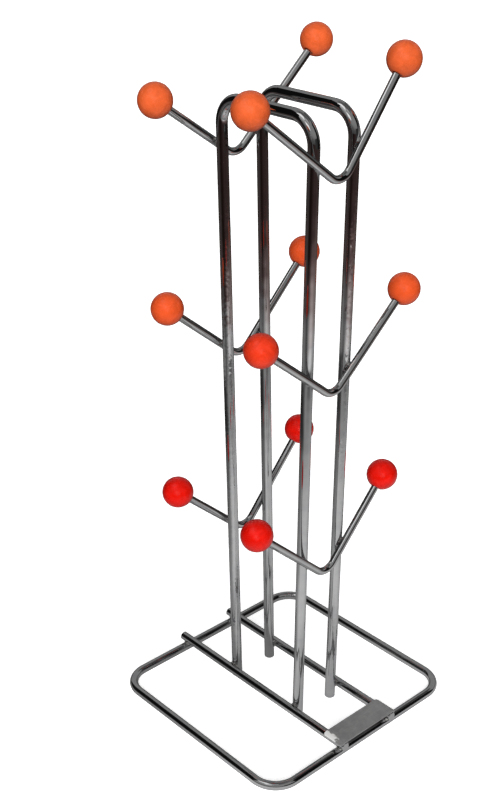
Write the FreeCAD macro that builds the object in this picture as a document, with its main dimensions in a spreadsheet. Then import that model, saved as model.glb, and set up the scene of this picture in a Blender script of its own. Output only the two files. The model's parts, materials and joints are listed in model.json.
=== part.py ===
import FreeCAD, Part
import math
import os

import Sketcher

# Mug tree: a free-standing rack of bent and welded round wire that holds twelve mugs.
#
# Frame: +Z up, origin on the floor under the middle of the base ring. The label plate is at
# the front, on the -Y side. The V-shaped arm wires spread to the left (-X) and right (+X).
#
# Base: a rounded rectangular ring lies on the floor and two straight rails cross it from front
# to rear. Two inverted-U hoops stand against the inner sides of the rails. Six V-shaped arm
# wires, three at the front and three at the rear, are welded to the outer sides of the hoop
# legs, and a ball knob is pushed on each of their twelve ends.

doc = FreeCAD.newDocument("mug_tree")

# ---------------------------------------------------------------- driving dimensions (mm, degrees)

sheet = doc.addObject("Spreadsheet::Sheet", "sizes")

DIMENSIONS = {
    "ring_wire": 6.0,  # diameter of the base ring's wire
    "ring_width": 161.5,  # between the wire's centre lines, along X
    "ring_depth": 153.5,  # between the wire's centre lines, along Y
    "ring_corner": 17.5,  # centre-line radius
    "rail_wire": 6.0,
    "rail_spacing": 44.0,  # between the rails' centre lines
    "rail_length": 163.5,
    "hoop_wire": 7.0,
    "hoop_height": 402.2,  # from the floor to the top wire's centre line
    "hoop_corner": 15.0,
    "foot_spacing": 61.0,  # between one hoop's legs, at the floor
    "leg_lean": 0.94,  # each leg leans outwards by this angle from vertical
    "foot_stub": 3.0,  # length below the floor that is sawn off, which leaves the feet flat
    "arm_wire": 4.8,
    "arm_bend": 10.0,  # centre-line radius of the bend in each V
    "bottom_tier": 110.5,  # height of the corner where the V's two straight lines meet
    "tier_spacing": 127.0,
    "knob_size": 20.0,
    "knob_mouth": 7.4,  # diameter of the flat round the bore
    "knob_wire_past_centre": 2.5,  # how far the wire reaches past the knob's centre
    "plate_width": 52.0,
    "plate_depth": 16.5,
    "plate_thickness": 0.8,
    "plate_corner": 1.5,
    "plate_front": 81.5,  # from the origin to the plate's front edge, just behind the rails' ends
    "touch_gap": 0.02,  # clearance left where two round wires cross, bridged by the weld
    "end_chamfer": 0.4,
    "weld_core": 0.9,  # radius of the unfused spot in the middle of a weld
    "ring_weld": 2.9,  # radius of the bead between ring and rail
    "rail_weld": 3.1,  # radius of the bead between rail and hoop leg
    "arm_weld": 2.8,  # radius of the bead between arm wire and hoop leg
    "plate_weld": 2.1,
    "plate_weld_length": 10.0,
}

# How each V-shaped wire is bent: rise of its left and right arms above the horizontal, in
# degrees, and their lengths from the corner of the V to the knobs' centres. The wires are bent
# by hand, so no two are quite alike.
TIERS = ("bottom", "middle", "top")
ENDS = ("front", "rear")
SIDES = ("left", "right")
ARM_BENDS = {
    "bottom_front": {"left_rise": 42.9, "right_rise": 47.9, "left_reach": 80.9, "right_reach": 74.0},
    "bottom_rear": {"left_rise": 42.2, "right_rise": 49.0, "left_reach": 75.9, "right_reach": 77.3},
    "middle_front": {"left_rise": 39.2, "right_rise": 41.5, "left_reach": 74.0, "right_reach": 78.7},
    "middle_rear": {"left_rise": 39.8, "right_rise": 45.3, "left_reach": 74.4, "right_reach": 78.5},
    "top_front": {"left_rise": 37.7, "right_rise": 52.5, "left_reach": 83.4, "right_reach": 76.2},
    "top_rear": {"left_rise": 35.3, "right_rise": 41.4, "left_reach": 71.1, "right_reach": 86.6},
}


def fill_sheet():
    """Writes one row per dimension: its name, its value and the alias that other objects use."""
    rows = dict(DIMENSIONS)
    for wire, bends in ARM_BENDS.items():
        for name, value in bends.items():
            rows[f"{wire}_{name}"] = value
    for row, (name, value) in enumerate(rows.items(), start=1):
        sheet.set(f"A{row}", name)
        sheet.set(f"B{row}", str(value))
        sheet.setAlias(f"B{row}", name)
    doc.recompute()


def size(name):
    """The value that the sheet holds under this alias."""
    return float(sheet.get(name))


# ---------------------------------------------------------------- helpers for bodies and sketches

parts = []

# A sketch's own point and axes, and the points of one of its lines or arcs.
ROOT = X_AXIS = -1
Y_AXIS = -2
START, END, CENTRE = 1, 2, 3

SIGN = {"left": "-1", "right": "1", "front": "-1", "rear": "1"}

# Distance of each hoop's plane from the middle, and height of the label plate's underside.
HOOP_PLACE = "(sizes.rail_spacing / 2 - sizes.rail_wire / 2 - sizes.touch_gap - sizes.hoop_wire / 2)"
PLATE_UNDERSIDE = "sizes.ring_wire + sizes.rail_wire + 2 * sizes.touch_gap"


def new_body(label, placement=None, turn_about=None):
    """A PartDesign body that becomes one sub-part. placement maps property paths to expressions."""
    body = doc.addObject("PartDesign::Body", label)
    body.Label = label
    if turn_about:
        body.Placement = FreeCAD.Placement(vector(0, 0, 0), FreeCAD.Rotation(turn_about, 1))
    for path, expression in (placement or {}).items():
        body.setExpression(f"Placement.{path}", expression)
    parts.append(body)
    return body


def new_sketch(body, name, role):
    """A sketch on one of the body's own origin planes, which is found by its role."""
    sketch = body.newObject("Sketcher::SketchObject", name)
    plane = next(feature for feature in body.Origin.OriginFeatures if feature.Role == role)
    sketch.AttachmentSupport = [(plane, "")]
    sketch.MapMode = "FlatFace"
    return sketch


def constrain(sketch, kind, *arguments, expression=None):
    """Adds a constraint and, for a dimension, ties it to the sheet."""
    index = sketch.addConstraint(Sketcher.Constraint(kind, *arguments))
    if expression:
        sketch.setExpression(f"Constraints[{index}]", expression)
    return index


def dimension(sketch, kind, start, end, expression):
    """A distance between two points, each given as (geometry, point), tied to the sheet."""
    value = sketch.getPoint(*end) - sketch.getPoint(*start)
    length = {"DistanceX": value.x, "DistanceY": value.y}[kind]
    return constrain(sketch, kind, *start, *end, length, expression=expression)


def vector(x, y, z=0.0):
    return FreeCAD.Vector(x, y, z)


def line(sketch, start, end):
    return sketch.addGeometry(Part.LineSegment(vector(*start), vector(*end)), False)


def arc(sketch, centre, radius, first_degrees, last_degrees):
    """An arc that runs anticlockwise between two directions."""
    circle = Part.Circle(vector(*centre), vector(0, 0, 1), radius)
    ends = (math.radians(first_degrees), math.radians(last_degrees))
    return sketch.addGeometry(Part.ArcOfCircle(circle, *ends), False)


def wire_profile(body, role, wire, offset=None, seam_degrees=0):
    """The wire's round section, where its path starts. offset places it along the plane's second axis.

    seam_degrees turns the sketch, and with it the surface's seam, away from where a weld will be.
    """
    sketch = new_sketch(body, f"{body.Label}_section", role)
    turned = FreeCAD.Rotation(vector(0, 0, 1), seam_degrees)
    sketch.AttachmentOffset = FreeCAD.Placement(vector(0, 0), turned)
    radius = size(wire) / 2
    start = vector(0, offset[0]) if offset else vector(0, 0)
    index = sketch.addGeometry(Part.Circle(start, vector(0, 0, 1), radius), False)
    constrain(sketch, "Diameter", index, 2 * radius, expression=f"sizes.{wire}")
    if offset:
        constrain(sketch, "PointOnObject", index, CENTRE, Y_AXIS)
        dimension(sketch, "DistanceY", (index, CENTRE), (ROOT, START), offset[1])
    else:
        constrain(sketch, "Coincident", index, CENTRE, ROOT, START)
    return sketch


def sweep(body, section, path):
    pipe = body.newObject("PartDesign::AdditivePipe", f"{body.Label}_sweep")
    pipe.Profile = section
    pipe.Spine = path
    body.Tip = pipe
    doc.recompute()


def edges_where(feature, wanted):
    """Names of the feature's edges that the test accepts."""
    edges = enumerate(feature.Shape.Edges, start=1)
    return [f"Edge{number}" for number, edge in edges if wanted(edge)]


# ---------------------------------------------------------------- base


def base_ring():
    """Closed ring of wire that lies on the floor, with straight sides and round corners."""
    body = new_body("base_ring", {"Base.z": "sizes.ring_wire / 2"})
    half_width = size("ring_width") / 2
    half_depth = size("ring_depth") / 2
    radius = size("ring_corner")
    inner_x = half_width - radius
    inner_y = half_depth - radius

    path = new_sketch(body, "base_ring_path", "XY_Plane")
    right_rear = line(path, (half_width, 0), (half_width, inner_y))
    rear_right = arc(path, (inner_x, inner_y), radius, 0, 90)
    rear = line(path, (inner_x, half_depth), (-inner_x, half_depth))
    rear_left = arc(path, (-inner_x, inner_y), radius, 90, 180)
    left = line(path, (-half_width, inner_y), (-half_width, -inner_y))
    front_left = arc(path, (-inner_x, -inner_y), radius, 180, 270)
    front = line(path, (-inner_x, -half_depth), (inner_x, -half_depth))
    front_right = arc(path, (inner_x, -inner_y), radius, 270, 360)
    right_front = line(path, (half_width, -inner_y), (half_width, 0))

    edges = [right_rear, rear_right, rear, rear_left, left, front_left, front, front_right, right_front]
    for one, following in zip(edges, edges[1:]):
        constrain(path, "Tangent", one, END, following, START)
    constrain(path, "Coincident", right_front, END, right_rear, START)
    constrain(path, "PointOnObject", right_rear, START, X_AXIS)
    constrain(path, "Vertical", right_rear)
    constrain(path, "Vertical", right_front)
    constrain(path, "Horizontal", rear)
    constrain(path, "Horizontal", front)
    for other in (rear_left, front_left, front_right):
        constrain(path, "Equal", rear_right, other)
    constrain(path, "Symmetric", left, START, left, END, X_AXIS)
    constrain(path, "Radius", rear_right, radius, expression="sizes.ring_corner")
    dimension(path, "DistanceX", (ROOT, START), (right_rear, START), "sizes.ring_width / 2")
    dimension(path, "DistanceX", (left, END), (right_rear, START), "sizes.ring_width")
    dimension(path, "DistanceY", (front, START), (rear, END), "sizes.ring_depth")

    section = new_sketch(body, "base_ring_section", "XZ_Plane")
    circle = Part.Circle(vector(half_width, 0), vector(0, 0, 1), size("ring_wire") / 2)
    index = section.addGeometry(circle, False)
    constrain(section, "PointOnObject", index, CENTRE, X_AXIS)
    constrain(section, "Diameter", index, size("ring_wire"), expression="sizes.ring_wire")
    dimension(section, "DistanceX", (ROOT, START), (index, CENTRE), "sizes.ring_width / 2")
    sweep(body, section, path)


def cross_rail(side):
    """Straight rod from front to rear that lies on the ring and passes a little beyond it."""
    placement = {
        "Base.x": f"{SIGN[side]} * sizes.rail_spacing / 2",
        "Base.z": "sizes.ring_wire + sizes.touch_gap + sizes.rail_wire / 2",
    }
    body = new_body(f"{side}_cross_rail", placement)
    section = wire_profile(body, "XZ_Plane", "rail_wire", seam_degrees=45)
    rod = body.newObject("PartDesign::Pad", f"{side}_cross_rail_rod")
    rod.Profile = section
    rod.SideType = "Symmetric"
    rod.setExpression("Length", "sizes.rail_length")
    doc.recompute()
    break_edges(body, rod, lambda edge: edge.Curve.TypeId == "Part::GeomCircle")


def break_edges(body, feature, wanted):
    """Small chamfers where the wire was cut off."""
    chamfer = body.newObject("PartDesign::Chamfer", f"{body.Label}_ends")
    chamfer.Base = (feature, edges_where(feature, wanted))
    chamfer.setExpression("Size", "sizes.end_chamfer")
    body.Tip = chamfer
    doc.recompute()


def label_plate():
    """Blank rectangular plate that lies across the rails at the front."""
    body = new_body("label_plate", {"Base.z": PLATE_UNDERSIDE})
    half_width = size("plate_width") / 2
    front = -size("plate_front")
    back = front + size("plate_depth")
    outline = new_sketch(body, "label_plate_outline", "XY_Plane")
    corners = [(-half_width, front), (half_width, front), (half_width, back), (-half_width, back)]
    sides = [line(outline, corners[n], corners[(n + 1) % 4]) for n in range(4)]
    for n in range(4):
        constrain(outline, "Coincident", sides[n], END, sides[(n + 1) % 4], START)
    for n, kind in enumerate(("Vertical", "Horizontal", "Vertical"), start=1):
        constrain(outline, kind, sides[n])
    constrain(outline, "Symmetric", sides[0], START, sides[0], END, Y_AXIS)
    dimension(outline, "DistanceX", (sides[0], START), (sides[0], END), "sizes.plate_width")
    dimension(outline, "DistanceY", (sides[1], START), (sides[1], END), "sizes.plate_depth")
    dimension(outline, "DistanceY", (sides[0], START), (ROOT, START), "sizes.plate_front")
    sheet_metal = body.newObject("PartDesign::Pad", "label_plate_blank")
    sheet_metal.Profile = outline
    sheet_metal.setExpression("Length", "sizes.plate_thickness")
    doc.recompute()
    rounding = body.newObject("PartDesign::Fillet", "label_plate_corners")
    upright = edges_where(sheet_metal, lambda edge: abs(edge.tangentAt(0).z) > 0.9)
    rounding.Base = (sheet_metal, upright)
    rounding.setExpression("Radius", "sizes.plate_corner")
    body.Tip = rounding
    doc.recompute()


# ---------------------------------------------------------------- hoops


def hoop(side):
    """Inverted U of wire. Its legs stand on the floor, inside the rails, and lean apart upwards."""
    half_turn = {"left": "0 deg", "right": "180 deg"}[side]
    placement = {"Base.x": f"{SIGN[side]} * {HOOP_PLACE}", "Rotation.Angle": half_turn}
    body = new_body(f"{side}_hoop", placement, turn_about=vector(0, 0, 1))
    lean = math.radians(size("leg_lean"))
    stub = size("foot_stub")
    foot = size("foot_spacing") / 2 - stub * math.tan(lean)
    height = size("hoop_height")
    radius = size("hoop_corner")
    rise = height + stub - radius - radius * math.sin(lean)
    shoulder = foot + rise * math.tan(lean)
    corner_y = shoulder - radius * math.cos(lean)
    lean_degrees = size("leg_lean")

    path = new_sketch(body, f"{side}_hoop_path", "YZ_Plane")
    front_leg = line(path, (-foot, -stub), (-shoulder, rise - stub))
    front_corner = arc(path, (-corner_y, height - radius), radius, 90, 180 + lean_degrees)
    top = line(path, (-corner_y, height), (corner_y, height))
    rear_corner = arc(path, (corner_y, height - radius), radius, -lean_degrees, 90)
    rear_leg = line(path, (shoulder, rise - stub), (foot, -stub))
    spacing = "sizes.foot_spacing - 2 * sizes.foot_stub * tan(sizes.leg_lean * 1 deg)"
    leg_angle = "(90 + sizes.leg_lean) * 1 deg"
    constrain(path, "Tangent", front_leg, END, front_corner, END)
    constrain(path, "Tangent", front_corner, START, top, START)
    constrain(path, "Tangent", top, END, rear_corner, END)
    constrain(path, "Tangent", rear_corner, START, rear_leg, START)
    constrain(path, "Equal", front_corner, rear_corner)
    constrain(path, "Symmetric", top, START, top, END, Y_AXIS)
    constrain(path, "Symmetric", front_leg, START, rear_leg, END, Y_AXIS)
    dimension(path, "DistanceX", (front_leg, START), (rear_leg, END), spacing)
    dimension(path, "DistanceY", (front_leg, START), (ROOT, START), "sizes.foot_stub")
    dimension(path, "DistanceY", (ROOT, START), (top, START), "sizes.hoop_height")
    constrain(path, "Radius", front_corner, radius, expression="sizes.hoop_corner")
    constrain(path, "Angle", front_leg, math.pi / 2 + lean, expression=leg_angle)

    section = wire_profile(body, "XY_Plane", "hoop_wire", offset=(-foot, f"({spacing}) / 2"))
    section.setExpression("AttachmentOffset.Base.z", "-sizes.foot_stub")
    sweep(body, section, path)
    saw_off_feet(body)
    break_edges(body, body.Tip, lambda edge: edge.BoundBox.ZMax < size("touch_gap"))


def saw_off_feet(body):
    """Removes everything below the floor."""
    before = body.Shape.Volume
    half = size("ring_depth") / 2
    below = new_sketch(body, f"{body.Label}_below_floor", "XY_Plane")
    corners = [(-half, -half), (half, -half), (half, half), (-half, half)]
    sides = [line(below, corners[n], corners[(n + 1) % 4]) for n in range(4)]
    for n in range(4):
        constrain(below, "Coincident", sides[n], END, sides[(n + 1) % 4], START)
    constrain(below, "Horizontal", sides[0])
    constrain(below, "Vertical", sides[1])
    constrain(below, "Vertical", sides[3])
    constrain(below, "Symmetric", sides[0], START, sides[2], START, ROOT, START)
    dimension(below, "DistanceX", (sides[0], START), (sides[0], END), "sizes.ring_depth")
    dimension(below, "DistanceY", (sides[1], START), (sides[1], END), "sizes.ring_depth")
    pocket = body.newObject("PartDesign::Pocket", f"{body.Label}_saw_cut")
    pocket.Profile = below
    pocket.Type = "ThroughAll"
    pocket.Reversed = False
    body.Tip = pocket
    doc.recompute()
    removed = before - body.Shape.Volume
    stubs = 2 * size("foot_stub") * math.pi * (size("hoop_wire") / 2) ** 2
    if not 0.9 * stubs < removed < 1.1 * stubs:
        raise RuntimeError(f"the saw cut removed {removed:.1f} mm3 and not {stubs:.1f}")


# ---------------------------------------------------------------- arms and knobs


def tier_height(tier):
    """Expression for the height of the corner of this tier's V."""
    return f"(sizes.bottom_tier + {TIERS.index(tier)} * sizes.tier_spacing)"


def crossing_height(tier, end, side):
    """Expression for the height at which the arm passes its hoop leg."""
    return f"({tier_height(tier)} + {HOOP_PLACE} * tan(sizes.{tier}_{end}_{side}_rise * 1 deg))"


def leg_outside(height):
    """Expression for how far from the origin, along Y, the outside of a leg is at this height."""
    lean = "(sizes.leg_lean * 1 deg)"
    return f"(sizes.foot_spacing / 2 + {height} * tan{lean} + sizes.hoop_wire / 2 / cos{lean})"


def arm_plane(tier, end):
    """Expression for the Y of the plane that this arm wire lies in, just outside both legs."""
    heights = [crossing_height(tier, end, side) for side in SIDES]
    outside = leg_outside(f"max({heights[0]}; {heights[1]})")
    return f"{SIGN[end]} * ({outside} + sizes.touch_gap + sizes.arm_wire / 2)"


def arm_point(tier, end, side, beyond="0"):
    """Expressions for a point on the arm's centre line: the knob's centre, or so far beyond it."""
    name = f"sizes.{tier}_{end}_{side}"
    reach = f"({name}_reach + {beyond})"
    return {
        "Base.x": f"{SIGN[side]} * {reach} * cos({name}_rise * 1 deg)",
        "Base.y": arm_plane(tier, end),
        "Base.z": f"{tier_height(tier)} + {reach} * sin({name}_rise * 1 deg)",
    }


def arm_wire(tier, end):
    """Straight wire bent once into a V. It is drawn from its left tip and then turned downwards."""
    wire = f"{tier}_{end}"
    placement = arm_point(tier, end, "left", "sizes.knob_wire_past_centre")
    placement["Rotation.Angle"] = f"sizes.{wire}_left_rise * 1 deg"
    body = new_body(f"{wire}_arm_wire", placement, turn_about=vector(0, 1, 0))

    turn_degrees = size(f"{wire}_left_rise") + size(f"{wire}_right_rise")
    turn = math.radians(turn_degrees)
    radius = size("arm_bend")
    setback = radius * math.tan(turn / 2)
    past = size("knob_wire_past_centre")
    left_run = size(f"{wire}_left_reach") + past - setback
    right_run = size(f"{wire}_right_reach") + past - setback
    bend_end = (left_run + radius * math.sin(turn), radius * (1 - math.cos(turn)))
    tip = (bend_end[0] + right_run * math.cos(turn), bend_end[1] + right_run * math.sin(turn))

    path = new_sketch(body, f"{wire}_arm_path", "XZ_Plane")
    left_arm = line(path, (0, 0), (left_run, 0))
    bend = arc(path, (left_run, radius), radius, -90, turn_degrees - 90)
    right_arm = line(path, bend_end, tip)
    turn_text = f"(sizes.{wire}_left_rise + sizes.{wire}_right_rise)"
    setback_text = f"sizes.arm_bend * tan({turn_text} / 2 * 1 deg)"
    run_text = {
        side: f"sizes.{wire}_{side}_reach + sizes.knob_wire_past_centre - {setback_text}" for side in SIDES
    }
    constrain(path, "Coincident", left_arm, START, ROOT, START)
    constrain(path, "Horizontal", left_arm)
    constrain(path, "Tangent", left_arm, END, bend, START)
    constrain(path, "Tangent", bend, END, right_arm, START)
    constrain(path, "Radius", bend, radius, expression="sizes.arm_bend")
    constrain(path, "Distance", left_arm, left_run, expression=run_text["left"])
    constrain(path, "Distance", right_arm, right_run, expression=run_text["right"])
    constrain(path, "Angle", right_arm, turn, expression=f"{turn_text} * 1 deg")

    section = wire_profile(body, "YZ_Plane", "arm_wire", seam_degrees=90)
    sweep(body, section, path)


def knob(tier, end, side):
    """Ball with a blind bore for the wire, turned about its own Z, which points away from the V."""
    name = f"{tier}_{end}_{side}"
    placement = arm_point(tier, end, side)
    placement["Rotation.Angle"] = f"{SIGN[side]} * (90 - sizes.{name}_rise) * 1 deg"
    body = new_body(f"{name}_knob", placement, turn_about=vector(0, 1, 0))

    ball = size("knob_size") / 2
    bore = size("arm_wire") / 2
    mouth = size("knob_mouth") / 2
    past = size("knob_wire_past_centre")
    mouth_z = -math.sqrt(ball**2 - mouth**2)
    mouth_degrees = math.degrees(math.asin(mouth_z / ball))

    half = new_sketch(body, f"{name}_knob_half", "XZ_Plane")
    surface = arc(half, (0, 0), ball, mouth_degrees, 90)
    axis = line(half, (0, ball), (0, past))
    bore_end = line(half, (0, past), (bore, past))
    bore_wall = line(half, (bore, past), (bore, mouth_z))
    flat = line(half, (bore, mouth_z), (mouth, mouth_z))
    edges = [surface, axis, bore_end, bore_wall, flat]
    for one, following in zip(edges, edges[1:]):
        constrain(half, "Coincident", one, END, following, START)
    constrain(half, "Coincident", flat, END, surface, START)
    constrain(half, "Coincident", surface, CENTRE, ROOT, START)
    constrain(half, "PointOnObject", axis, START, Y_AXIS)
    constrain(half, "PointOnObject", axis, END, Y_AXIS)
    constrain(half, "Horizontal", bore_end)
    constrain(half, "Vertical", bore_wall)
    constrain(half, "Horizontal", flat)
    constrain(half, "Radius", surface, ball, expression="sizes.knob_size / 2")
    constrain(half, "Distance", bore_end, bore, expression="sizes.arm_wire / 2")
    dimension(half, "DistanceX", (ROOT, START), (flat, END), "sizes.knob_mouth / 2")
    dimension(half, "DistanceY", (ROOT, START), (axis, END), "sizes.knob_wire_past_centre")

    turned = body.newObject("PartDesign::Revolution", f"{name}_knob_ball")
    turned.Profile = half
    turned.ReferenceAxis = (half, ["V_Axis"])
    turned.Angle = 360
    body.Tip = turned
    doc.recompute()


# ---------------------------------------------------------------- welds


def primitive(kind, name, sizes, placement, rotation=None):
    """A Part primitive with its sizes and its place tied to the sheet."""
    solid = doc.addObject(f"Part::{kind}", name)
    if rotation:
        solid.Placement = FreeCAD.Placement(vector(0, 0, 0), rotation)
    for path, expression in sizes.items():
        solid.setExpression(path, expression)
    for path, expression in placement.items():
        solid.setExpression(f"Placement.{path}", expression)
    return solid


def group(name, members):
    compound = doc.addObject("Part::Compound", name)
    compound.Links = members
    return compound


def cut(name, base, tool):
    difference = doc.addObject("Part::Cut", name)
    difference.Base = base
    difference.Tool = tool
    return difference


# The balls are turned so that their poles and seams are clear of the wires.
OBLIQUE = FreeCAD.Rotation(vector(1, 1, 1), 40)


def weld_group(label, radius, places, core_rotation, wires):
    """Beads where wires cross. Each is a ball cut back to both wires, with an open middle."""
    balls = []
    cores = []
    axis = core_rotation.multVec(vector(0, 0, 1))
    for number, place in enumerate(places, start=1):
        ball_size = {"Radius": f"sizes.{radius}"}
        balls.append(primitive("Sphere", f"{label}_ball_{number}", ball_size, place, OBLIQUE))
        start = {
            path: f"{text} - {round(getattr(axis, path[-1]))} * sizes.{radius} * 2"
            for path, text in place.items()
        }
        core_sizes = {"Radius": "sizes.weld_core", "Height": f"4 * sizes.{radius}"}
        cores.append(primitive("Cylinder", f"{label}_core_{number}", core_sizes, start, core_rotation))
    beads = cut(f"{label}_open", group(f"{label}_balls", balls), group(f"{label}_cores", cores))
    for number, wire in enumerate(wires, start=1):
        beads = cut(f"{label}_cut_{number}", beads, wire)
    beads.Label = label
    parts.append(beads)
    doc.recompute()


def named(label):
    return doc.getObject(label)


def ring_rail_welds():
    """Four beads where the rails lie on the ring."""
    places = []
    for side in SIDES:
        for end in ENDS:
            places.append({
                "Base.x": f"{SIGN[side]} * sizes.rail_spacing / 2",
                "Base.y": f"{SIGN[end]} * sizes.ring_depth / 2",
                "Base.z": "sizes.ring_wire + sizes.touch_gap / 2",
            })
    wires = [named("base_ring"), named("left_cross_rail"), named("right_cross_rail")]
    weld_group("ring_rail_welds", "ring_weld", places, FreeCAD.Rotation(), wires)


def rail_leg_welds():
    """Four beads where the hoop legs pass the inner sides of the rails."""
    height = "(sizes.ring_wire + sizes.touch_gap + sizes.rail_wire / 2)"
    inside = "(sizes.rail_spacing / 2 - sizes.rail_wire / 2 - sizes.touch_gap / 2)"
    leg = f"(sizes.foot_spacing / 2 + {height} * tan(sizes.leg_lean * 1 deg))"
    places = []
    for side in SIDES:
        for end in ENDS:
            places.append({
                "Base.x": f"{SIGN[side]} * {inside}",
                "Base.y": f"{SIGN[end]} * {leg}",
                "Base.z": height,
            })
    wires = [named(f"{side}_{part}") for side in SIDES for part in ("cross_rail", "hoop")]
    sideways = FreeCAD.Rotation(vector(0, 1, 0), 90)
    weld_group("rail_leg_welds", "rail_weld", places, sideways, wires)


def arm_leg_welds():
    """Twelve beads, where each V passes the outer sides of two legs."""
    places = []
    for tier in TIERS:
        for end in ENDS:
            for side in SIDES:
                height = crossing_height(tier, end, side)
                places.append({
                    "Base.x": f"{SIGN[side]} * {HOOP_PLACE}",
                    "Base.y": f"{SIGN[end]} * ({leg_outside(height)} + sizes.touch_gap / 2)",
                    "Base.z": height,
                })
    wires = [named("left_hoop"), named("right_hoop")]
    wires += [named(f"{tier}_{end}_arm_wire") for tier in TIERS for end in ENDS]
    lengthways = FreeCAD.Rotation(vector(1, 0, 0), -90)
    weld_group("arm_leg_welds", "arm_weld", places, lengthways, wires)


def plate_welds():
    """Fillets under the plate, along both sides of each rail."""
    beads = []
    cores = []
    lengthways = FreeCAD.Rotation(vector(1, 0, 0), -90)
    for side in SIDES:
        place = {
            "Base.x": f"{SIGN[side]} * sizes.rail_spacing / 2",
            "Base.y": "-sizes.plate_front + (sizes.plate_depth - sizes.plate_weld_length) / 2",
            "Base.z": PLATE_UNDERSIDE,
        }
        rod = {"Radius": "sizes.plate_weld", "Height": "sizes.plate_weld_length"}
        core = {"Radius": "sizes.weld_core", "Height": "sizes.plate_weld_length"}
        beads.append(primitive("Cylinder", f"plate_weld_{side}", rod, place, lengthways))
        cores.append(primitive("Cylinder", f"plate_weld_{side}_core", core, place, lengthways))
    fillets = cut("plate_welds_open", group("plate_welds_rods", beads), group("plate_welds_cores", cores))
    fillets = cut("plate_welds_flat", fillets, plate_room())
    for side in SIDES:
        fillets = cut(f"plate_welds_{side}", fillets, named(f"{side}_cross_rail"))
    fillets.Label = "plate_welds"
    parts.append(fillets)
    doc.recompute()


def plate_room():
    """Block that stands for everything above the plate's underside, larger than the plate."""
    sizes = {"Length": "sizes.ring_width", "Width": "sizes.ring_width", "Height": "sizes.ring_wire"}
    place = {
        "Base.x": "-sizes.ring_width / 2",
        "Base.y": "-sizes.ring_width",
        "Base.z": PLATE_UNDERSIDE,
    }
    return primitive("Box", "above_plate_underside", sizes, place)


# ---------------------------------------------------------------- the whole object


def build():
    fill_sheet()
    base_ring()
    for side in SIDES:
        cross_rail(side)
    label_plate()
    for side in SIDES:
        hoop(side)
    for tier in TIERS:
        for end in ENDS:
            arm_wire(tier, end)
            for side in SIDES:
                knob(tier, end, side)
    ring_rail_welds()
    rail_leg_welds()
    arm_leg_welds()
    plate_welds()
    doc.recompute()


def check():
    """Stops before anything is written if an object failed or a sub-part isn't sound."""
    for item in doc.Objects:
        if "Invalid" in item.State or "Error" in item.State:
            raise RuntimeError(f"{item.Name} failed: {item.State}")
    for item in parts:
        if item.Shape.isNull() or not item.Shape.isValid():
            raise RuntimeError(f"{item.Label} has no sound shape")


def export():
    os.makedirs("parts", exist_ok=True)
    for item in parts:
        item.Shape.exportStep(f"parts/{item.Label}.step")
        box = item.Shape.BoundBox
        solids = len(item.Shape.Solids)
        low = f"{box.XMin:.2f} {box.YMin:.2f} {box.ZMin:.2f}"
        high = f"{box.XMax:.2f} {box.YMax:.2f} {box.ZMax:.2f}"
        print(f"{item.Label}: {solids} solid, {item.Shape.Volume:.1f} mm3, {low} to {high}")
    print(f"{len(parts)} sub-parts")


build()
check()
export()
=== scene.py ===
"""Looks of a chromed wire mug tree with twelve ball knobs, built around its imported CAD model."""
import json
import math

import bmesh
import bpy
from mathutils import Matrix, Vector, noise

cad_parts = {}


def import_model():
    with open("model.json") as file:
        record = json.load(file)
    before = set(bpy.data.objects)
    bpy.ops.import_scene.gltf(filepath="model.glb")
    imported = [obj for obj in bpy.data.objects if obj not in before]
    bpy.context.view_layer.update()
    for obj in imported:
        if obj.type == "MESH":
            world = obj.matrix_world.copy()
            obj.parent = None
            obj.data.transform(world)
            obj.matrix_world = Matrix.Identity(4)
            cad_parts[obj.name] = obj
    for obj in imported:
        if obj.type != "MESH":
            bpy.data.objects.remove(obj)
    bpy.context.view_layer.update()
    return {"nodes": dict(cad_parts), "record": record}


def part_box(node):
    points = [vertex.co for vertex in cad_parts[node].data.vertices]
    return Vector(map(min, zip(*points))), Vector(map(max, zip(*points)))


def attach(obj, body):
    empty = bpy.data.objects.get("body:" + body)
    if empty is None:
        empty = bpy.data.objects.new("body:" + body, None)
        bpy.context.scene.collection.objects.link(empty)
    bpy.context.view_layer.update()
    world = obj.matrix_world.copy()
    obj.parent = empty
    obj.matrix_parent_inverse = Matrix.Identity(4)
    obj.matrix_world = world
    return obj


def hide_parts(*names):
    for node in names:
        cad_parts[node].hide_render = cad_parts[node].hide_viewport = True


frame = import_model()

MM = 0.001

TIERS = ("bottom", "middle", "top")
ENDS = ("front", "rear")
SIDES = ("left", "right")
X_AXIS, Y_AXIS, Z_AXIS = Vector((1, 0, 0)), Vector((0, 1, 0)), Vector((0, 0, 1))


# ---------------------------------------------------------------- places in the frame


def node_centre(node):
    low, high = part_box(node)
    return (low + high) / 2


def node_half(node):
    low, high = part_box(node)
    return (high - low) / 2


def arm_direction(tier, end, side):
    """The direction in which an arm runs out to its knob, from the record's mount on that arm."""
    mounts = {mount["name"]: mount for mount in frame["record"]["mounts"]}
    return Vector(mounts[f"{tier}_{end}_{side}_mug_arm"]["axis"]).normalized()


def arms():
    """Every arm, as (tier, end, side)."""
    return [(tier, end, side) for tier in TIERS for end in ENDS for side in SIDES]


RAIL_WIRE = node_half("left_cross_rail").x
HOOP_WIRE = node_half("left_hoop").x
ARM_WIRE = node_half("top_front_arm_wire").y
RING_WIRE = node_half("base_ring").z

# Where the drawing lines change direction, in the bends: in from the ring's sides, and down from
# the hoops' tops
RING_TURN = 6 * RING_WIRE
HOOP_TURN = 4 * HOOP_WIRE


# ---------------------------------------------------------------- node helpers


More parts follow.
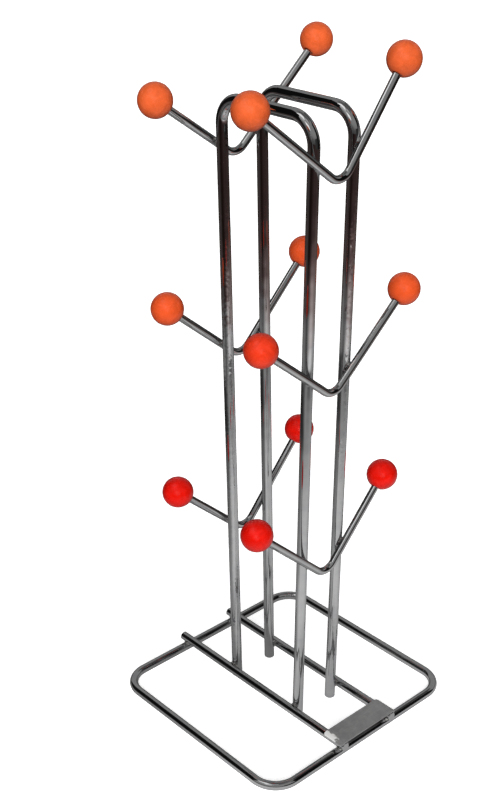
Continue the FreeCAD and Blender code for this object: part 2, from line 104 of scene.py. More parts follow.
class Shading:
    """A node material while it is made: its nodes, its Principled shader and its object coordinates."""

    def __init__(self, name, **values):
        self.material = bpy.data.materials.new(name)
        self.material.use_nodes = True
        self.nodes = self.material.node_tree.nodes
        self.links = self.material.node_tree.links
        self.nodes.clear()
        output = self.nodes.new("ShaderNodeOutputMaterial")
        self.shader = self.add("BsdfPrincipled", **values)
        self.join(self.shader.outputs["BSDF"], output.inputs["Surface"])
        self.place = self.add("TexCoord").outputs["Object"]

    def add(self, kind, settings=None, **values):
        """A new node, with its settings and with its sockets' values, where _ stands for a space."""
        item = self.nodes.new(f"ShaderNode{kind}")
        for name, value in (settings or {}).items():
            setattr(item, name, value)
        for name, value in values.items():
            item.inputs[name.replace("_", " ")].default_value = value
        return item

    def join(self, output, socket):
        self.links.new(output, socket)

    def drive(self, socket, value):
        self.join(value, self.shader.inputs[socket])

    def math(self, operation, *operands):
        """A Math node whose operands are sockets or numbers."""
        item = self.add("Math", {"operation": operation})
        for socket, value in zip(item.inputs, operands):
            if isinstance(value, bpy.types.NodeSocket):
                self.join(value, socket)
            else:
                socket.default_value = value
        return item.outputs["Value"]

    def coordinate(self, axis):
        parts = self.add("SeparateXYZ")
        self.join(self.place, parts.inputs[0])
        return parts.outputs[axis]

    def noise(self, place, scale, detail=3.0, distortion=0.0):
        """Noise between 0 and 1, with scale in cells per metre."""
        item = self.add("TexNoise", Scale=scale, Detail=detail, Distortion=distortion)
        self.join(place, item.inputs["Vector"])
        return item.outputs["Fac"]

    def ramp(self, value, stops):
        """A colour ramp from (place, colour) stops, where a single number is a grey."""
        item = self.add("ValToRGB")
        fill_ramp(item, stops)
        self.join(value, item.inputs["Fac"])
        return item.outputs["Color"]

    def spread(self, value, low, high, source=(0.3, 0.7)):
        """The value, which mostly lies in the source range, spread from low to high."""
        item = self.add("MapRange", From_Min=source[0], From_Max=source[1], To_Min=low, To_Max=high)
        self.join(value, item.inputs["Value"])
        return item.outputs["Result"]

    def mix(self, kind, share, first, second):
        item = self.add("Mix", {"data_type": kind})
        for socket, value in (("Factor", share), ("A", first), ("B", second)):
            if isinstance(value, bpy.types.NodeSocket):
                self.join(value, item.inputs[socket])
            else:
                item.inputs[socket].default_value = value
        return item.outputs["Result"]

    def along(self, direction, share=0.03):
        """Object coordinates squeezed to that share along a direction, so that noise makes long lines."""
        run = self.add("VectorMath", {"operation": "DOT_PRODUCT"})
        self.join(self.place, run.inputs[0])
        run.inputs[1].default_value = direction
        back = self.add("VectorMath", {"operation": "SCALE"})
        back.inputs[0].default_value = direction * (1 - share)
        self.join(run.outputs["Value"], back.inputs["Scale"])
        rest = self.add("VectorMath", {"operation": "SUBTRACT"})
        self.join(self.place, rest.inputs[0])
        self.join(back.outputs["Vector"], rest.inputs[1])
        return rest.outputs["Vector"]

    def bump(self, *layers):
        """Bumps from (height socket, depth in metres) layers, joined to the shader's normal."""
        normal = None
        for height, depth in layers:
            item = self.add("Bump", Strength=1.0, Distance=depth)
            self.join(height, item.inputs["Height"])
            if normal:
                self.join(normal, item.inputs["Normal"])
            normal = item.outputs["Normal"]
        self.drive("Normal", normal)


def fill_ramp(item, stops):
    points = item.color_ramp.elements
    while len(points) < len(stops):
        points.new(1.0)
    for point, (place, colour) in zip(points, stops):
        point.position = place
        point.color = (*colour, 1) if isinstance(colour, tuple) else (colour, colour, colour, 1)


# ---------------------------------------------------------------- chromed wire

CHROME_TONES = [(0.30, (0.535, 0.535, 0.550)), (0.52, (0.580, 0.580, 0.585)), (0.72, (0.610, 0.607, 0.600))]
CHROME_RIM = (0.62, 0.62, 0.62, 1)


def chrome(name, directions, turning=None):
    """Bright chrome over drawn wire, whose drawing lines follow one direction or two.

    turning is (axis, limit, mirrored): past that limit, on both sides of the object where it is
    mirrored, the lines follow the second direction.
    """
    shading = Shading(name, Metallic=1.0, Specular_Tint=CHROME_RIM)
    lines = shading.along(directions[0])
    if turning:
        axis, limit, mirrored = turning
        reached = shading.coordinate(axis)
        if mirrored:
            reached = shading.math("ABSOLUTE", reached)
        beyond = shading.math("GREATER_THAN", reached, limit)
        lines = shading.mix("VECTOR", beyond, lines, shading.along(directions[1]))
    drawn = shading.noise(lines, 2600, 2)
    haze = shading.noise(shading.place, 100, 4, 0.6)
    waves = shading.noise(shading.place, 65, 1)
    pits = shading.noise(shading.place, 3200, 1)
    shading.drive("Base Color", shading.ramp(haze, CHROME_TONES))
    streaks = shading.spread(drawn, 0.008, 0.026)
    shading.drive("Roughness", shading.math("ADD", streaks, shading.spread(haze, 0.010, 0.030)))
    shading.bump((waves, 0.16 * MM), (drawn, 0.0022 * MM), (pits, 0.0012 * MM))
    return shading.material


def assign(node, material):
    materials = frame["nodes"][node].data.materials
    materials.clear()
    materials.append(material)


def finish_wires():
    """Gives each wire a chrome whose drawing lines follow its runs."""
    ring_side = node_half("base_ring").x - RING_TURN
    hoop_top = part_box("left_hoop")[1].z - HOOP_TURN
    rail = chrome("rail_chrome", (Y_AXIS,))
    hoop = chrome("hoop_chrome", (Z_AXIS, Y_AXIS), ("Z", hoop_top, False))
    assign("base_ring", chrome("ring_chrome", (X_AXIS, Y_AXIS), ("X", ring_side, True)))
    for side in SIDES:
        assign(f"{side}_cross_rail", rail)
        assign(f"{side}_hoop", hoop)
    for tier in TIERS:
        for end in ENDS:
            runs = [arm_direction(tier, end, side) for side in SIDES]
            assign(f"{tier}_{end}_arm_wire", chrome(f"{tier}_{end}_arm_chrome", runs, ("X", 0.0, False)))


# ---------------------------------------------------------------- mesh helpers


def skin(mesh, rings):
    """Faces over successive closed rings of points. The first and last rings may be single points."""
    rows = [[mesh.verts.new(point) for point in ring] for ring in rings]
    for row, following in zip(rows, rows[1:]):
        steps = max(len(row), len(following))
        for step in range(steps):
            after = (step + 1) % steps
            if len(row) == 1:
                mesh.faces.new((row[0], following[step], following[after]))
            elif len(following) == 1:
                mesh.faces.new((row[step], row[after], following[0]))
            else:
                mesh.faces.new((row[step], row[after], following[after], following[step]))


def turns(steps):
    """The angles of that many equal steps round a circle."""
    return [2 * math.pi * step / steps for step in range(steps)]


def placed(name, mesh):
    """An object in the scene from a bmesh, which it uses up."""
    data = bpy.data.meshes.new(name)
    mesh.to_mesh(data)
    mesh.free()
    item = bpy.data.objects.new(name, data)
    bpy.context.scene.collection.objects.link(item)
    return item


def finished_piece(name, mesh, material, slot, *nodes):
    """An object from a bmesh, smooth and facing outwards, in place of the CAD nodes that it stands for."""
    bmesh.ops.recalc_face_normals(mesh, faces=mesh.faces)
    for face in mesh.faces:
        face.smooth = True
    item = placed(name, mesh)
    item.data.materials.append(material)
    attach(item, "root")
    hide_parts(*nodes)
    return item


# ---------------------------------------------------------------- ball knobs

KNOB_STEPS = 40
KNOB_RING_STEP = 8  # about how many degrees lie between the ball's rings
MOUTH_STEP = 2  # degrees from the mouth's edge to the ball's first ring
BORE_CLEARANCE = 0.05 * MM
BORE_END = 2.6 * MM  # past the ball's centre
MOUTH_FLAT = 3.4 * MM  # outer radius of the flat round the bore
MOUTH_ROUND = 0.35 * MM
SEAM_HEIGHT = 0.03 * MM  # the fine ridge that the two halves of the mould leave
SEAM_STEP = 0.12 * MM
GATE_RADIUS = 0.8 * MM  # the shallow dimple at the tip, where the plastic came in
GATE_DEPTH = 0.15 * MM


def ball_profile(radius):
    """Outline of a moulded ball: blind bore, rounded mouth, sphere with a mould seam, dimple at the tip."""
    bore = ARM_WIRE + BORE_CLEARANCE
    skin_radius = radius - SEAM_HEIGHT
    edge = MOUTH_FLAT + MOUTH_ROUND
    mouth = -math.sqrt(skin_radius ** 2 - edge ** 2)
    points = [
        (0, BORE_END),
        (bore * 0.8, BORE_END),
        (bore, BORE_END - bore * 0.2),
        (bore, 0),
        (bore, mouth + 2 * MOUTH_ROUND),
        (bore + 0.3 * MOUTH_ROUND, mouth + 0.35 * MOUTH_ROUND),
        (bore + MOUTH_ROUND, mouth),
        (MOUTH_FLAT, mouth),
    ]
    first = math.degrees(math.asin(edge / skin_radius)) + MOUTH_STEP
    last = 180 - math.degrees(math.asin(GATE_RADIUS / skin_radius))
    seam = math.degrees(math.asin(3 * SEAM_STEP / skin_radius))
    below = round((90 - seam - first) / KNOB_RING_STEP)
    above = round((last - 90 - seam) / KNOB_RING_STEP)
    angles = [first + (90 - seam - first) * n / below for n in range(below + 1)]
    points += [on_sphere(skin_radius, angle) for angle in angles]
    points += [(skin_radius, -SEAM_STEP), (skin_radius + SEAM_HEIGHT, 0), (skin_radius, SEAM_STEP)]
    angles = [90 + seam + (last - 90 - seam) * n / above for n in range(above + 1)]
    points += [on_sphere(skin_radius, angle) for angle in angles]
    tip = points[-1][1]
    points += [
        (GATE_RADIUS * 0.85, tip - 0.3 * GATE_DEPTH),
        (GATE_RADIUS * 0.60, tip - GATE_DEPTH),
        (GATE_RADIUS * 0.30, tip - GATE_DEPTH),
        (0, tip - GATE_DEPTH),
    ]
    return points


def on_sphere(radius, degrees):
    """(radius, height) on a sphere, at that angle from its lower pole."""
    angle = math.radians(degrees)
    return radius * math.sin(angle), -radius * math.cos(angle)


def plastic(name, colour):
    """Glossy moulded plastic, with faint clouds in its colour, soft orange peel and fine rub marks."""
    shading = Shading(name, Specular_IOR_Level=0.3)
    clouds = shading.noise(shading.place, 150, 4, 1.4)
    peel = shading.noise(shading.place, 1100, 2)
    rubs = shading.noise(shading.place, 420, 5, 0.8)
    darker = tuple(channel * 0.88 for channel in colour)
    lighter = tuple(min(1.0, channel * 1.09 + 0.004) for channel in colour)
    shading.drive("Base Color", shading.ramp(clouds, [(0.32, darker), (0.52, colour), (0.70, lighter)]))
    shading.drive("Roughness", shading.spread(rubs, 0.18, 0.34))
    shading.bump((clouds, 0.06 * MM), (peel, 0.010 * MM))
    return shading.material


# Colour of each tier's knobs, and of one knob in the middle tier that is redder than the others
TIER_COLOURS = {
    "bottom": (0.64, 0.006, 0.002),
    "middle": (0.68, 0.080, 0.018),
    "top": (0.70, 0.110, 0.028),
}
ODD_KNOB = ("middle", "front", "left")
ODD_COLOUR = (0.68, 0.036, 0.010)


def ball_knobs():
    """The twelve knobs, each with its bore towards its arm and its dimple at the tip."""
    paints = {tier: plastic(f"{tier}_plastic", colour) for tier, colour in TIER_COLOURS.items()}
    odd_paint = plastic("odd_plastic", ODD_COLOUR)
    for arm in arms():
        name = "_".join(arm)
        node = f"{name}_knob"
        to_place = arm_direction(*arm).to_track_quat("Z", "Y").to_matrix().to_4x4()
        to_place.translation = node_centre(node)
        rings = []
        for radius, height in ball_profile(node_half(node).y):
            angles = turns(KNOB_STEPS) if radius else [0]
            ring = [Vector((math.cos(turn) * radius, math.sin(turn) * radius, height)) for turn in angles]
            rings.append([to_place @ point for point in ring])
        mesh = bmesh.new()
        skin(mesh, rings)
        paint = odd_paint if arm == ODD_KNOB else paints[arm[0]]
        ball = finished_piece(f"{name}_ball", mesh, paint, f"{arm[0]}_knob", node)
        rounding = ball.modifiers.new("rounding", "SUBSURF")
        rounding.levels = 1
        rounding.render_levels = 1


# ---------------------------------------------------------------- welds

WELD_STEPS = 48
WELD_ROWS = 7
WELD_GAP = 1.5 * MM  # between the two wires, at the edge of the metal that fills their corner
WELD_MOST = 0.97  # furthest that a weld climbs round a wire, as a share of its radius
WELD_HOLLOW = 0.22 * MM  # how far the middle of the fillet dips
WELD_SINK = 0.20 * MM  # how deep the weld's edges lie in the wires
WELD_WAVE = 0.14  # unevenness of the edge, as a share of its reach
WELD_WAVE_CELLS = 1.3  # radius, in noise cells, of the circle that gives the edge its waves
WELD_SPACING = 900  # noise cells per metre from weld to weld, so that no two edges are alike
WELD_SEARCH = 0.02 * MM  # step of the search for the edge
WELD_ENDS = (0.4, 0.9)  # the rings that close a weld inside the wires, as shares of its reach

FILLET_STEPS = 48
FILLET_REACH = 1.9 * MM  # of the metal under the plate, to each side of the line of touch
FILLET_LEAST = 0.05 * MM  # its reach at its tapered ends
FILLET_SINK = 0.1 * MM  # how deep it lies in the rail
FILLET_RIPPLE = 0.06  # regular unevenness, as a share of its reach
FILLET_RIPPLE_STEP = 1.9  # radians of the ripple in each step
FILLET_WAVE = 0.10  # irregular unevenness, as a share of its reach
FILLET_WAVE_STEP = 0.7  # noise cells in each step
FILLET_SPACING = 300  # noise cells per metre from rail to rail, so that the two aren't alike

# Its section: (share of the reach, height over the plate's underside as a share of the gap below
# it, or None just inside the rail)
FILLET_OUTLINE = (
    (-1, 0.05), (1, 0.05), (0.86, -0.3), (0.84, -0.5), (0.92, -0.75), (1, None),
    (0.5, None), (-0.5, None), (-1, None), (-0.92, -0.75), (-0.84, -0.5), (-0.86, -0.3),
)


def sunk(radius, away):
    """How far a round wire's surface has curved back at that distance from the line where it is touched."""
    return radius - math.sqrt(radius ** 2 - min(away, radius * WELD_MOST) ** 2)


def weld(mesh, place, first, second):
    """Metal that fills the corner round the point where two crossing wires touch.

    first and second are each (direction of the wire, its radius), and place is (point, direction
    from the first wire's centre line to the second's).
    """
    point, across = place
    (along_first, first_radius), (along_second, second_radius) = first, second
    side_first = across.cross(along_first)
    side_second = across.cross(along_second)
    inner, outer = WELD_ENDS
    rows = [[] for _ in range(WELD_ROWS + 2 * len(WELD_ENDS))]
    for turn in turns(WELD_STEPS):
        outwards = along_first * math.cos(turn) + side_first * math.sin(turn)
        from_first, from_second = abs(outwards.dot(side_first)), abs(outwards.dot(side_second))
        reach = 0.0
        while reach < first_radius and (
            sunk(first_radius, reach * from_first) + sunk(second_radius, reach * from_second) < WELD_GAP
        ):
            reach += WELD_SEARCH
        reach *= 1 + WELD_WAVE * noise.noise(outwards * WELD_WAVE_CELLS + point * WELD_SPACING)
        low = -sunk(first_radius, reach * from_first) - WELD_SINK
        high = sunk(second_radius, reach * from_second) + WELD_SINK
        levels = [(inner, -2 * WELD_SINK), (outer, low)]
        for row in range(WELD_ROWS):
            share = row / (WELD_ROWS - 1)
            levels.append((1 - WELD_HOLLOW / reach * math.sin(math.pi * share), low + (high - low) * share))
        levels += [(outer, high), (inner, 2 * WELD_SINK)]
        for row, (share, height) in zip(rows, levels):
            row.append(point + outwards * reach * share + across * height)
    skin(mesh, [[point - across * 2 * WELD_SINK], *rows, [point + across * 2 * WELD_SINK]])


def ring_rail_crossings():
    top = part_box("base_ring")[1].z
    across = node_half("base_ring").y - RING_WIRE
    for side in SIDES:
        for sign in (-1, 1):
            point = Vector((node_centre(f"{side}_cross_rail").x, sign * across, top))
            yield (point, Z_AXIS), (X_AXIS, RING_WIRE), (Y_AXIS, RAIL_WIRE)


def rail_leg_crossings():
    low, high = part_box("rail_leg_welds")
    bead = high.z - low.z
    leg = high.y - bead / 2
    for side in SIDES:
        rail = node_centre(f"{side}_cross_rail")
        inwards = -X_AXIS if side == "right" else X_AXIS
        for sign in (-1, 1):
            point = Vector((rail.x, sign * leg, rail.z)) + inwards * RAIL_WIRE
            yield (point, inwards), (Y_AXIS, RAIL_WIRE), (Z_AXIS, HOOP_WIRE)


def arm_leg_crossings():
    for tier, end, side in arms():
        outwards = Y_AXIS if end == "rear" else -Y_AXIS
        knob = node_centre(f"{tier}_{end}_{side}_knob")
        arm = arm_direction(tier, end, side)
        leg_x = node_centre(f"{side}_hoop").x
        point = knob + arm * (leg_x - knob.x) / arm.x - outwards * ARM_WIRE
        yield (point, outwards), (Z_AXIS, HOOP_WIRE), (arm, ARM_WIRE)


def plate_fillet(mesh, side):
    """Metal along both sides of the line where a rail touches the label plate's underside."""
    low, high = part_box("plate_welds")
    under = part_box("label_plate")[0].z
    rail = node_centre(f"{side}_cross_rail")
    rings = []
    for step in range(FILLET_STEPS + 1):
        share = step / FILLET_STEPS
        end_taper = math.sqrt(max(1 - (2 * share - 1) ** 6, 0))
        ripple = FILLET_RIPPLE * math.sin(step * FILLET_RIPPLE_STEP)
        wave = FILLET_WAVE * noise.noise(Vector((rail.x * FILLET_SPACING, step * FILLET_WAVE_STEP, 0)))
        reach = max(FILLET_REACH * end_taper * (1 + ripple + wave), FILLET_LEAST)
        y = low.y + (high.y - low.y) * share
        ring = []
        for across, level in FILLET_OUTLINE:
            depth = sunk(RAIL_WIRE, reach * abs(across))
            drop = -depth - FILLET_SINK if level is None else level * sunk(RAIL_WIRE, reach)
            ring.append(Vector((rail.x + across * reach, y, under + drop)))
        rings.append(ring)
    ends = [[Vector((rail.x, ring[0].y, under))] for ring in (rings[0], rings[-1])]
    skin(mesh, [ends[0], *rings, ends[1]])


def weld_plating():
    """Chrome over a weld: the wire's plate on rougher metal, with a faint straw tint."""
    shading = Shading("weld_chrome", Metallic=1.0, Specular_Tint=CHROME_RIM)
    lumps = shading.noise(shading.place, 900, 3, 0.5)
    stain = shading.noise(shading.place, 260, 3)
    grain = shading.noise(shading.place, 5200, 2)
    shading.drive("Base Color", shading.ramp(stain, [
        (0.30, (0.47, 0.46, 0.45)), (0.50, (0.60, 0.59, 0.58)), (0.70, (0.66, 0.64, 0.60)),
    ]))
    shading.drive("Roughness", shading.spread(stain, 0.12, 0.26))
    shading.bump((lumps, 0.09 * MM), (grain, 0.006 * MM))
    return shading.material


def welds():
    """One piece for each group of welds, in place of the CAD model's plain beads."""
    plating = weld_plating()
    groups = {"ring_rail": ring_rail_crossings, "rail_leg": rail_leg_crossings, "arm_leg": arm_leg_crossings}
    for group, crossings in groups.items():
        mesh = bmesh.new()
        for crossing in crossings():
            weld(mesh, *crossing)
        finished_piece(f"{group}_fillets", mesh, plating, "weld", f"{group}_welds")
    mesh = bmesh.new()
    for side in SIDES:
        plate_fillet(mesh, side)
    finished_piece("plate_fillets", mesh, plating, "weld", "plate_welds")


# ---------------------------------------------------------------- label plate

PLATE_THICK = 0.75 * MM
PLATE_CORNER = 1.6 * MM
PLATE_EDGE = 0.22 * MM  # radius of the rounded edges
PLATE_CROWN = 0.04 * MM  # how far the middle stands above the rails
PLATE_DROP = 1.5 * MM  # how far each end is bent down over its rail
PLATE_CELL = 0.5 * MM
SPOT_RADIUS = 1.6 * MM  # of the marks that the welding left, two over each rail
SPOT_DEPTH = 0.05 * MM
SPOT_PLACE = 0.4  # from the plate's middle line, as a share of half its depth
PLATE_TONE = 0.30  # the satin steel's grey

# The painted highlight where the left end is bent over its rail: a near-white patch that starts past the
# rail's middle and runs to the rear, with soft edges that wander
PAINTED_HIGHLIGHT_TONE = (0.88, 0.88, 0.87, 1)
PAINTED_HIGHLIGHT_PAST_RAIL = (0.2 * MM, 1.0 * MM)  # where it starts and where it is full
PAINTED_HIGHLIGHT_FROM = 0.35  # in front of the plate's middle line, as a share of half its depth
PAINTED_HIGHLIGHT_FADE = 0.6 * MM  # half the width of its soft front edge
PAINTED_HIGHLIGHT_WANDER_X = 1.3 * MM  # how far its edges wander to each side
PAINTED_HIGHLIGHT_WANDER_Y = 2.2 * MM


def rounded_corner(x, y, half):
    """Moves a point of the rectangle so that its corners become arcs."""
    over_x = abs(x) - (half.x - PLATE_CORNER)
    over_y = abs(y) - (half.y - PLATE_CORNER)
    if over_x <= 0 or over_y <= 0:
        return x, y
    arc_x = over_x * math.sqrt(1 - (over_y / PLATE_CORNER) ** 2 / 2)
    arc_y = over_y * math.sqrt(1 - (over_x / PLATE_CORNER) ** 2 / 2)
    return math.copysign(abs(x) - over_x + arc_x, x), math.copysign(abs(y) - over_y + arc_y, y)


def plate_height(x, y, half, rail):
    """Height of the plate's top at a point: crown, ends bent over the rails, and weld marks."""
    height = PLATE_CROWN * (1 - min(abs(x) / rail, 1) ** 2)
    past_rail = max(abs(x) - rail, 0) / (half.x - rail)
    height -= PLATE_DROP * past_rail ** 2
    for spot_x in (-rail, rail):
        for spot_y in (-SPOT_PLACE * half.y, SPOT_PLACE * half.y):
            away = math.hypot(x - spot_x, y - spot_y) / SPOT_RADIUS
            if away < 1:
                height -= SPOT_DEPTH * (1 - away ** 2) ** 2
    return height


def satin(half, rail):
    """Satin steel brushed along the plate, with a painted highlight at the rear of its left end."""
    shading = Shading("satin_plate_painted_highlight")
    lines = shading.noise(shading.along(X_AXIS), 3800, 3)
    clouds = shading.noise(shading.place, 260, 4, 0.4)
    grain = shading.noise(shading.place, 2400, 2)
    patches = shading.noise(shading.place, 420, 3)
    wear = shading.math("ADD", shading.math("MULTIPLY", lines, 0.5), shading.math("MULTIPLY", clouds, 0.5))
    tone = shading.ramp(wear, [(0.38, PLATE_TONE * 0.86), (0.5, PLATE_TONE), (0.62, PLATE_TONE * 1.16)])
    wander_x = shading.spread(patches, -PAINTED_HIGHLIGHT_WANDER_X, PAINTED_HIGHLIGHT_WANDER_X)
    edge = shading.math("ADD", shading.coordinate("X"), wander_x)
    start, full = PAINTED_HIGHLIGHT_PAST_RAIL
    past_rail = shading.spread(edge, 1.0, 0.0, (-rail - full, -rail - start))
    wander_y = shading.spread(patches, -PAINTED_HIGHLIGHT_WANDER_Y, PAINTED_HIGHLIGHT_WANDER_Y)
    depth = shading.math("ADD", shading.coordinate("Y"), wander_y)
    front = node_centre("label_plate").y - PAINTED_HIGHLIGHT_FROM * half.y
    rearward = shading.spread(depth, 0.0, 1.0, (front - PAINTED_HIGHLIGHT_FADE, front + PAINTED_HIGHLIGHT_FADE))
    # Painted highlight: a near-white patch, with less metal in it, at the rear of the plate's left end
    painted_highlight = shading.math("MULTIPLY", past_rail, rearward)
    shading.drive("Base Color", shading.mix("RGBA", painted_highlight, tone, PAINTED_HIGHLIGHT_TONE))
    shading.drive("Metallic", shading.spread(painted_highlight, 0.45, 0.25, (0, 1)))
    shading.drive("Roughness", shading.spread(lines, 0.40, 0.52))
    shading.bump((lines, 0.012 * MM), (grain, 0.008 * MM))
    return shading.material


def label_plate():
    """Blank sheet-metal plate with round corners and edges, whose ends are bent down over the rails."""
    centre = node_centre("label_plate")
    half = node_half("label_plate")
    rail = node_centre("right_cross_rail").x
    columns = round(2 * half.x / PLATE_CELL)
    rows = round(2 * half.y / PLATE_CELL)
    mesh = bmesh.new()
    grid = []
    for row in range(rows + 1):
        line = []
        for column in range(columns + 1):
            x = -half.x + 2 * half.x * column / columns
            y = -half.y + 2 * half.y * row / rows
            px, py = rounded_corner(x, y, half)
            top = half.z - PLATE_CROWN + plate_height(px, py, half, rail)
            line.append(mesh.verts.new(centre + Vector((px, py, top))))
        grid.append(line)
    for line, following in zip(grid, grid[1:]):
        for n in range(columns):
            mesh.faces.new((line[n], line[n + 1], following[n + 1], following[n]))
    plate = finished_piece("blank_plate", mesh, satin(half, rail), "plate", "label_plate")
    thickness = plate.modifiers.new("thickness", "SOLIDIFY")
    thickness.thickness = PLATE_THICK
    thickness.offset = -1
    rounding = plate.modifiers.new("rounding", "BEVEL")
    rounding.width = PLATE_EDGE
    rounding.segments = 3
    rounding.limit_method = "ANGLE"
    rounding.angle_limit = math.radians(50)


# ---------------------------------------------------------------- stage

# Camera: degrees, metres, the lens in millimetres, the shift as a share of the picture's longer side
CAMERA_AZIMUTH = -41.84
CAMERA_ELEVATION = 28.70
CAMERA_ROLL = -0.6
CAMERA_DISTANCE = 0.830
CAMERA_TARGET = Vector((-0.0009, 0.0369, 0.1645))
CAMERA_LENS = 56.9
CAMERA_SHIFT = 0.075

SOFT_LIGHT = 0.12  # strength of the soft light from all round

# Broad lights: name, azimuth, elevation, strength and angular size
SUNS = (
    ("key_light", CAMERA_AZIMUTH, CAMERA_ELEVATION - 8, 4.25, 36),
    ("back_light", CAMERA_AZIMUTH + 180, 0, 3.6, 60),
)

# Upright cards that the wires mirror: name, radius, azimuths, heights and glow
CARDS = (
    ("front_right_flag", 1.6, (24, 60), (-0.3, 2.5), 0.006),
    ("front_flag", 1.7, (-16, 26), (-0.3, 0.8), 0.04),
    ("right_flag", 1.7, (58, 112), (1.75, 3.5), 0.06),
    ("rear_left_flag", 1.6, (-172, -114), (-0.1, 2.30), 0.006),
    ("window_card", 0.8, (-84, -58), (0.80, 1.13), 1.3),
    ("low_ceiling_card", 0.84, (-114, -50), (0.85, 1.30), 0.52),
    ("ceiling_card", 0.8, (-132, -82), (1.30, 3.2), 1.20),
    ("ceiling_edge_card", 0.82, (-82, -25), (1.60, 3.2), 0.50),
)

# What the wires mirror below the horizon: a pale sheet with a seam in it, on a dark brown table.
# Each sector has an azimuth and (distance in metres, glow) stops, and sectors blend into each other.
# Within about 0.15 m of the object every sector glows less: that is painted shade round its base.
REAR_SHEET = [
    (0.00, 0.20), (0.14, 0.34), (0.24, 0.23), (0.34, 0.15), (0.42, 0.03), (0.51, 0.04), (0.57, 0.26),
    (0.65, 0.20), (0.75, (0.085, 0.066, 0.064)), (1.10, (0.060, 0.047, 0.046)),
]
LEFT_SHEET = [
    (0.00, 0.50), (0.10, 0.44), (0.15, 0.64), (0.22, 0.32), (0.28, 0.42), (0.42, 0.08), (0.50, 0.18),
    (0.56, 0.10), (0.66, 0.09), (0.76, (0.036, 0.022, 0.021)), (0.92, (0.012, 0.007, 0.006)),
]
FRONT_LEFT_SHEET = [
    (0.00, 0.50), (0.15, 0.76), (0.28, 0.66), (0.42, 0.34), (0.52, 0.32), (0.58, 0.26), (0.67, 0.17),
    (0.76, (0.065, 0.043, 0.041)), (0.92, (0.016, 0.009, 0.008)),
]
FRONT_SHEET = [
    (0.00, 0.48), (0.10, 0.50), (0.15, 0.74), (0.27, 0.70), (0.40, 0.42), (0.49, 0.24), (0.540, 0.12),
    (0.575, 0.92), (0.66, (0.66, 0.60, 0.59)), (0.77, (0.38, 0.30, 0.29)), (0.86, (0.18, 0.12, 0.115)),
    (0.98, (0.065, 0.042, 0.040)), (1.20, (0.045, 0.028, 0.026)),
]
RIGHT_SHEET = [
    (0.00, 0.38), (0.15, 0.60), (0.32, 0.58), (0.45, 0.38), (0.53, 0.30), (0.60, 0.46),
    (0.68, (0.32, 0.26, 0.25)), (0.86, (0.16, 0.11, 0.10)), (1.15, (0.050, 0.032, 0.030)),
]
TABLE_SECTORS = (
    (-180, REAR_SHEET), (-115, REAR_SHEET), (-90, LEFT_SHEET), (-62, FRONT_LEFT_SHEET), (-20, FRONT_SHEET),
    (5, FRONT_SHEET), (40, RIGHT_SHEET), (75, RIGHT_SHEET), (120, REAR_SHEET), (180, REAR_SHEET),
)
TABLE_REACH = 1.5  # metres from the object, past which the tones stay the same
TABLE_RADIUS = 6
TABLE_DROP = 0.5 * MM  # under the floor
FLOOR_RADIUS = 30
FLOOR_GLOW = 0.74  # keeps the floor pale where the object shades it
DISC_STEPS = 96
CARD_STEPS = 24


def direction(azimuth, elevation):
    """The unit vector from the object towards that azimuth and elevation, in degrees."""
    around, up = math.radians(azimuth), math.radians(elevation)
    return Vector((math.sin(around) * math.cos(up), -math.cos(around) * math.cos(up), math.sin(up)))


def only_in_reflections(item):
    """A card that the wires mirror, and that the camera, the shadows and the soft light don't meet."""
    item.visible_camera = False
    item.visible_diffuse = False
    item.visible_shadow = False
    item.visible_transmission = False


def disc(name, radius, height):
    """A flat round sheet, level at that height."""
    mesh = bmesh.new()
    bmesh.ops.create_circle(mesh, cap_ends=True, segments=DISC_STEPS, radius=radius)
    bmesh.ops.translate(mesh, verts=mesh.verts, vec=(0, 0, height))
    return placed(name, mesh)


def glowing(shading, colour):
    """Turns a material into one that only glows, with a socket or a grey."""
    glow = shading.add("Emission")
    if isinstance(colour, bpy.types.NodeSocket):
        shading.join(colour, glow.inputs["Color"])
    else:
        glow.inputs["Color"].default_value = (colour, colour, colour, 1)
    output = shading.nodes["Material Output"]
    shading.join(glow.outputs["Emission"], output.inputs["Surface"])
    return shading.material


def curved_card(name, radius, azimuths, heights, glow):
    """An upright card on a circle about the object, between two azimuths and two heights."""
    mesh = bmesh.new()
    rows = []
    for height in heights:
        row = []
        for step in range(CARD_STEPS + 1):
            azimuth = azimuths[0] + (azimuths[1] - azimuths[0]) * step / CARD_STEPS
            row.append(mesh.verts.new(direction(azimuth, 0) * radius + Z_AXIS * height))
        rows.append(row)
    for step in range(CARD_STEPS):
        mesh.faces.new((rows[0][step], rows[0][step + 1], rows[1][step + 1], rows[1][step]))
    card = placed(name, mesh)
    card.data.materials.append(glowing(Shading(name), glow))
    only_in_reflections(card)


def table_card():
    """The card that stands for the sheet and the table, and for painted shade round the object's base, with
    a blend of its sectors by azimuth.
    """
    card = disc("table_card", TABLE_RADIUS, -TABLE_DROP)
    shading = Shading("table_card")
    length = shading.add("VectorMath", {"operation": "LENGTH"})
    shading.join(shading.place, length.inputs[0])
    share = shading.math("DIVIDE", length.outputs["Value"], TABLE_REACH)
    backwards = shading.math("MULTIPLY", shading.coordinate("Y"), -1.0)
    azimuth = shading.math("ARCTAN2", shading.coordinate("X"), backwards)
    colour = None
    for sector, (degrees, stops) in enumerate(TABLE_SECTORS):
        here = shading.ramp(share, [(distance / TABLE_REACH, glow) for distance, glow in stops])
        if sector:
            before = math.radians(TABLE_SECTORS[sector - 1][0])
            reached = shading.spread(azimuth, 0.0, 1.0, (before, math.radians(degrees)))
            here = shading.mix("RGBA", reached, colour, here)
        colour = here
    card.data.materials.append(glowing(shading, colour))
    only_in_reflections(card)


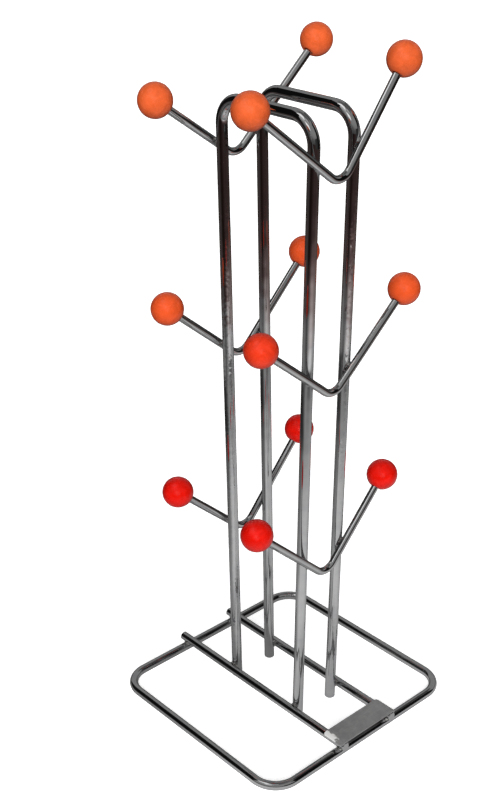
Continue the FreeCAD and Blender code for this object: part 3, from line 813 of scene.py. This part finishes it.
def floor():
    """Pale floor with a faint paper grain, which the wires don't mirror."""
    plane = disc("floor", FLOOR_RADIUS, 0)
    shading = Shading("pale_floor", Emission_Strength=FLOOR_GLOW)
    shading.shader.inputs["Emission Color"].default_value = (1, 1, 1, 1)
    clouds = shading.noise(shading.place, 6, 4)
    grain = shading.noise(shading.place, 900, 3)
    shading.drive("Base Color", shading.ramp(clouds, [(0.3, 0.925), (0.7, 0.945)]))
    shading.drive("Roughness", shading.spread(grain, 0.80, 0.95))
    shading.bump((grain, 0.02 * MM))
    plane.data.materials.append(shading.material)
    plane.visible_glossy = False
    plane.visible_diffuse = False


def world():
    """Soft light from all round, a dim room that the wires mirror, and a white backdrop for the camera."""
    light = bpy.data.worlds.new("studio")
    bpy.context.scene.world = light
    light.use_nodes = True
    nodes = light.node_tree.nodes
    links = light.node_tree.links
    soft = nodes["Background"]
    soft.inputs["Strength"].default_value = SOFT_LIGHT
    room = nodes.new("ShaderNodeBackground")
    backdrop = nodes.new("ShaderNodeBackground")
    backdrop.inputs["Color"].default_value = (1, 1, 1, 1)
    place = nodes.new("ShaderNodeTexCoord")
    parts = nodes.new("ShaderNodeSeparateXYZ")
    links.new(place.outputs["Generated"], parts.inputs[0])
    shifted = nodes.new("ShaderNodeMapRange")
    shifted.inputs["From Min"].default_value = -1.0
    links.new(parts.outputs["Z"], shifted.inputs["Value"])
    warm_below = [(0.0, (0.75, 0.55, 0.48)), (0.45, (0.80, 0.68, 0.62)), (0.6, 0.85), (1.0, 0.85)]
    room_tones = [
        (0.0, 0.08), (0.14, 0.12), (0.3, 0.26), (0.5, 0.31), (0.85, 0.28), (0.95, 0.12), (1.0, 0.12),
    ]
    for value, stops, target in (
        (shifted.outputs["Result"], warm_below, soft), (parts.outputs["Z"], room_tones, room),
    ):
        tones = nodes.new("ShaderNodeValToRGB")
        fill_ramp(tones, stops)
        links.new(value, tones.inputs["Fac"])
        links.new(tones.outputs["Color"], target.inputs["Color"])
    path = nodes.new("ShaderNodeLightPath")
    mix = nodes.new("ShaderNodeMixShader")
    links.new(path.outputs["Is Glossy Ray"], mix.inputs["Fac"])
    links.new(soft.outputs["Background"], mix.inputs[1])
    links.new(room.outputs["Background"], mix.inputs[2])
    seen = nodes.new("ShaderNodeMixShader")
    links.new(path.outputs["Is Camera Ray"], seen.inputs["Fac"])
    links.new(mix.outputs["Shader"], seen.inputs[1])
    links.new(backdrop.outputs["Background"], seen.inputs[2])
    links.new(seen.outputs["Shader"], nodes["World Output"].inputs["Surface"])


def suns():
    """A key light from behind the camera, which hides most shadows, and a level light for the far side."""
    for name, azimuth, elevation, strength, angle in SUNS:
        data = bpy.data.lights.new(name, "SUN")
        data.energy = strength
        data.angle = math.radians(angle)
        item = bpy.data.objects.new(name, data)
        item.rotation_mode = "QUATERNION"
        item.rotation_quaternion = (-direction(azimuth, elevation)).to_track_quat("-Z", "Y")
        item.visible_glossy = False
        bpy.context.scene.collection.objects.link(item)


def camera():
    """The camera, turned about its own axis by the roll after it is aimed."""
    back = direction(CAMERA_AZIMUTH, CAMERA_ELEVATION)
    data = bpy.data.cameras.new("camera")
    data.lens = CAMERA_LENS
    data.shift_y = CAMERA_SHIFT
    item = bpy.data.objects.new("camera", data)
    item.rotation_mode = "QUATERNION"
    item.location = CAMERA_TARGET + back * CAMERA_DISTANCE
    aim = (-back).to_track_quat("-Z", "Y").to_matrix()
    item.rotation_quaternion = (aim @ Matrix.Rotation(math.radians(CAMERA_ROLL), 3, "Z")).to_quaternion()
    bpy.context.scene.collection.objects.link(item)
    bpy.context.scene.camera = item


finish_wires()
ball_knobs()
welds()
label_plate()
floor()
table_card()
for card in CARDS:
    curved_card(*card)
suns()
world()
camera()
bpy.context.scene.view_settings.view_transform = "Standard"
